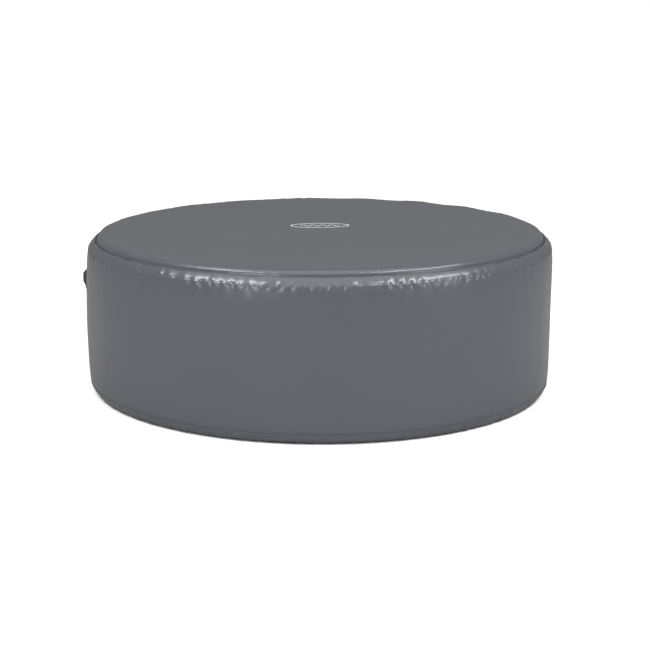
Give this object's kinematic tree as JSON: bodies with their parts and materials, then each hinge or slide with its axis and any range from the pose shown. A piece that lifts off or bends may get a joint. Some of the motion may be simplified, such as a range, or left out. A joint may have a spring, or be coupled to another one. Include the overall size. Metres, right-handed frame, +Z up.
{
  "type": "inflatable hot tub",
  "caption": "Round inflatable hot tub under a full-height lift-off cover with a padded top, tucked hem and lift handles.",
  "frame": {"origin": "middle of the underside of the ground mat, on the floor", "axes": "+Z up; +Y towards the back of the tub, where the heater unit is coupled; +X to the right seen from the front"},
  "size_m": [2.0101, 1.9679, 0.665],
  "materials": {
    "cover_vinyl": "satin",
    "cover_trim": "satin",
    "badge_ink": "matte",
    "lid_vinyl": "satin",
    "webbing": "matte",
    "mat_foam": "matte",
    "tub_outer_vinyl": "satin",
    "tub_inner_vinyl": "satin",
    "web_vinyl": "satin",
    "black_plastic": "satin",
    "pale_plastic": "satin",
    "gasket_rubber": "matte",
    "handle_rubber": "satin"
  },
  "bodies": {
    "tub": {"ground_mat": "mat_foam", "tub_floor": "tub_inner_vinyl", "bottom_ring_panel": "tub_outer_vinyl", "outer_wall_panel": "tub_outer_vinyl", "inner_wall_panel": "tub_inner_vinyl", "top_deck_panel": "tub_inner_vinyl", "wall_tensioner_1": "web_vinyl", "wall_tensioner_2": "web_vinyl", "wall_tensioner_3": "web_vinyl", "wall_tensioner_4": "web_vinyl", "wall_tensioner_5": "web_vinyl", "wall_tensioner_6": "web_vinyl", "wall_tensioner_7": "web_vinyl", "wall_tensioner_8": "web_vinyl", "bubble_channel": "tub_inner_vinyl", "air_riser": "tub_inner_vinyl", "inlet_coupling": "black_plastic", "inlet_outer_saddle": "gasket_rubber", "inlet_inner_saddle": "gasket_rubber", "inlet_lock_nut": "pale_plastic", "outlet_coupling": "black_plastic", "outlet_outer_saddle": "gasket_rubber", "outlet_inner_saddle": "gasket_rubber", "outlet_lock_nut": "pale_plastic", "air_coupling": "black_plastic", "air_outer_saddle": "gasket_rubber", "drain_coupling": "black_plastic", "drain_outer_saddle": "gasket_rubber", "drain_lock_nut": "pale_plastic", "inflation_valve_body": "black_plastic"},
    "cover": {"cover_top_panel": "cover_vinyl", "cover_skirt": "cover_vinyl", "seam_piping": "cover_trim", "hem_band": "cover_trim", "cutout_binding": "cover_trim", "badge_outline": "badge_ink", "lid_bladder": "lid_vinyl", "lid_strap_1": "webbing", "lid_strap_2": "webbing", "lid_strap_3": "webbing", "lid_strap_4": "webbing", "lid_valve_body": "pale_plastic", "handle_base_left": "handle_rubber", "handle_grip_left": "handle_rubber", "handle_base_right": "handle_rubber", "handle_grip_right": "handle_rubber"},
    "inlet_screen": {"inlet_debris_screen": "pale_plastic"},
    "outlet_screen": {"outlet_debris_screen": "pale_plastic"},
    "drain_cap": {"drain_cap": "black_plastic"},
    "drain_plug": {"drain_plug": "pale_plastic"},
    "inflation_cap": {"inflation_valve_cap": "black_plastic"},
    "inflation_stem": {"inflation_valve_stem": "pale_plastic"},
    "lid_cap": {"lid_valve_cap": "pale_plastic"}
  },
  "joints": [
    {"name": "cover_lift", "type": "slide", "parent": "tub", "child": "cover", "axis": [0, 0, 1], "range_m": [0, 0.75]},
    {"name": "inlet_screen_turn", "type": "hinge", "parent": "tub", "child": "inlet_screen", "pos_m": [0.13, 0.69, 0.17], "axis": [0, 1, 0], "range_deg": [0, 90]},
    {"name": "outlet_screen_turn", "type": "hinge", "parent": "tub", "child": "outlet_screen", "pos_m": [-0.13, 0.69, 0.17], "axis": [0, 1, 0], "range_deg": [0, 90]},
    {"name": "drain_cap_turn", "type": "hinge", "parent": "tub", "child": "drain_cap", "pos_m": [0.235, 0.94, 0.092], "axis": [0, 1, 0], "continuous": true},
    {"name": "drain_plug_pull", "type": "slide", "parent": "tub", "child": "drain_plug", "axis": [0, -1, 0], "range_m": [0, 0.08]},
    {"name": "inflation_cap_open", "type": "hinge", "parent": "tub", "child": "inflation_cap", "pos_m": [-0.235, 0.9219, 0.321], "axis": [1, 0, 0], "range_deg": [0, 110]},
    {"name": "inflation_stem_press", "type": "slide", "parent": "tub", "child": "inflation_stem", "axis": [0, -1, 0], "range_m": [0, 0.005], "stiffness_N_per_m": 250, "springref_m": -0.004},
    {"name": "lid_cap_open", "type": "hinge", "parent": "cover", "child": "lid_cap", "pos_m": [0, -0.396, 0.5785], "axis": [1, 0, 0], "range_deg": [0, 100]}
  ]
}
